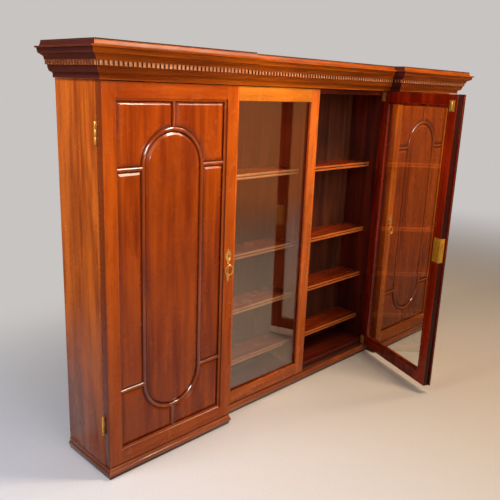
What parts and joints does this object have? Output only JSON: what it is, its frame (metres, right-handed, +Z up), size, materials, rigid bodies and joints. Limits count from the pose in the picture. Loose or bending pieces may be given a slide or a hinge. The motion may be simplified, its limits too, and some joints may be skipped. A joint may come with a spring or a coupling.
{
  "type": "bookcase cabinet",
  "caption": "Breakfront bookcase cabinet with panelled wing doors, glazed centre doors, shelves, dentil cornice and plinth, for holding books.",
  "frame": {"origin": "on the floor, in the middle of the case's width and of its depth (wing door faces to back)", "axes": "+X to the viewer's right, +Y to the wall behind, +Z up"},
  "size_m": [1.94, 0.5885, 1.22],
  "materials": {
    "mahogany": "french polished",
    "dark_wood": "stained, unpolished",
    "glass": "clear sheet",
    "brass": "aged polish"
  },
  "bodies": {
    "carcass": {"side_panel_left": "mahogany", "side_panel_right": "mahogany", "partition_left": "mahogany", "partition_right": "mahogany", "partition_centre": "mahogany", "top_board": "mahogany", "bottom_board": "mahogany", "plinth_moulding": "mahogany", "cornice_moulding": "mahogany", "dentil_moulding": "mahogany", "base_frame": "dark_wood", "back_panel": "dark_wood", "cornice_top_board": "dark_wood", "cornice_back_rail": "dark_wood", "shelf_wing_left_1": "mahogany", "shelf_wing_left_2": "mahogany", "shelf_left_1": "mahogany", "shelf_left_2": "mahogany", "shelf_left_3": "mahogany", "shelf_left_4": "mahogany", "shelf_right_1": "mahogany", "shelf_right_2": "mahogany", "shelf_right_3": "mahogany", "shelf_right_4": "mahogany", "shelf_wing_right_1": "mahogany", "shelf_wing_right_2": "mahogany", "hinge_lower_left_case_leaf": "brass", "hinge_upper_left_case_leaf": "brass", "hinge_lower_right_case_leaf": "brass", "hinge_upper_right_case_leaf": "brass"},
    "wing_door_left": {"wing_door_left_frame": "mahogany", "wing_door_left_panel": "mahogany", "wing_door_left_beads": "mahogany", "hinge_lower_left_door_leaf": "brass", "hinge_upper_left_door_leaf": "brass", "handle_plate_wing_left": "brass"},
    "wing_door_right": {"wing_door_right_frame": "mahogany", "wing_door_right_panel": "mahogany", "wing_door_right_beads": "mahogany", "hinge_lower_right_door_leaf": "brass", "hinge_upper_right_door_leaf": "brass", "handle_plate_wing_right": "brass"},
    "glazed_door_left": {"glazed_door_left_frame": "mahogany", "glass_left": "glass", "glazing_bead_left": "mahogany", "pivot_lower_left": "brass", "pivot_upper_left": "brass"},
    "glazed_door_right": {"glazed_door_right_frame": "mahogany", "glass_right": "glass", "glazing_bead_right": "mahogany", "pivot_lower_right": "brass", "pivot_upper_right": "brass", "lock_plate": "brass", "door_catch": "brass", "astragal": "mahogany", "handle_plate_glazed_right": "brass"},
    "ring_wing_left": {"ring_pull_wing_left": "brass"},
    "ring_wing_right": {"ring_pull_wing_right": "brass"},
    "ring_glazed_right": {"ring_pull_glazed_right": "brass"},
    "lock_bolt": {"lock_bolt": "brass"}
  },
  "joints": [
    {"name": "wing_door_left_hinge", "type": "hinge", "parent": "carcass", "child": "wing_door_left", "pos_m": [-0.9188, -0.0875, 0.58], "axis": [0, 0, -1], "range_deg": [0, 175]},
    {"name": "wing_door_right_hinge", "type": "hinge", "parent": "carcass", "child": "wing_door_right", "pos_m": [0.9188, -0.0875, 0.58], "axis": [0, 0, 1], "range_deg": [0, 175]},
    {"name": "glazed_door_left_hinge", "type": "hinge", "parent": "carcass", "child": "glazed_door_left", "pos_m": [-0.435, -0.063, 0.58], "axis": [0, 0, -1], "range_deg": [0, 90]},
    {"name": "glazed_door_right_hinge", "type": "hinge", "parent": "carcass", "child": "glazed_door_right", "pos_m": [0.435, -0.063, 0.58], "axis": [0, 0, 1], "range_deg": [-68, 22]},
    {"name": "ring_wing_left_pivot", "type": "hinge", "parent": "wing_door_left", "child": "ring_wing_left", "pos_m": [-0.469, -0.1217, 0.572], "axis": [-1, 0, 0], "range_deg": [0, 160]},
    {"name": "ring_wing_right_pivot", "type": "hinge", "parent": "wing_door_right", "child": "ring_wing_right", "pos_m": [0.469, -0.1217, 0.572], "axis": [-1, 0, 0], "range_deg": [0, 160]},
    {"name": "ring_glazed_right_pivot", "type": "hinge", "parent": "glazed_door_right", "child": "ring_glazed_right", "pos_m": [0.29635, -0.44541, 0.572], "axis": [-0.3746, -0.9272, 0], "range_deg": [0, 160]},
    {"name": "lock_bolt_slide", "type": "slide", "parent": "glazed_door_right", "child": "lock_bolt", "axis": [-0.3746, -0.9272, 0], "range_m": [0, 0.007]}
  ]
}
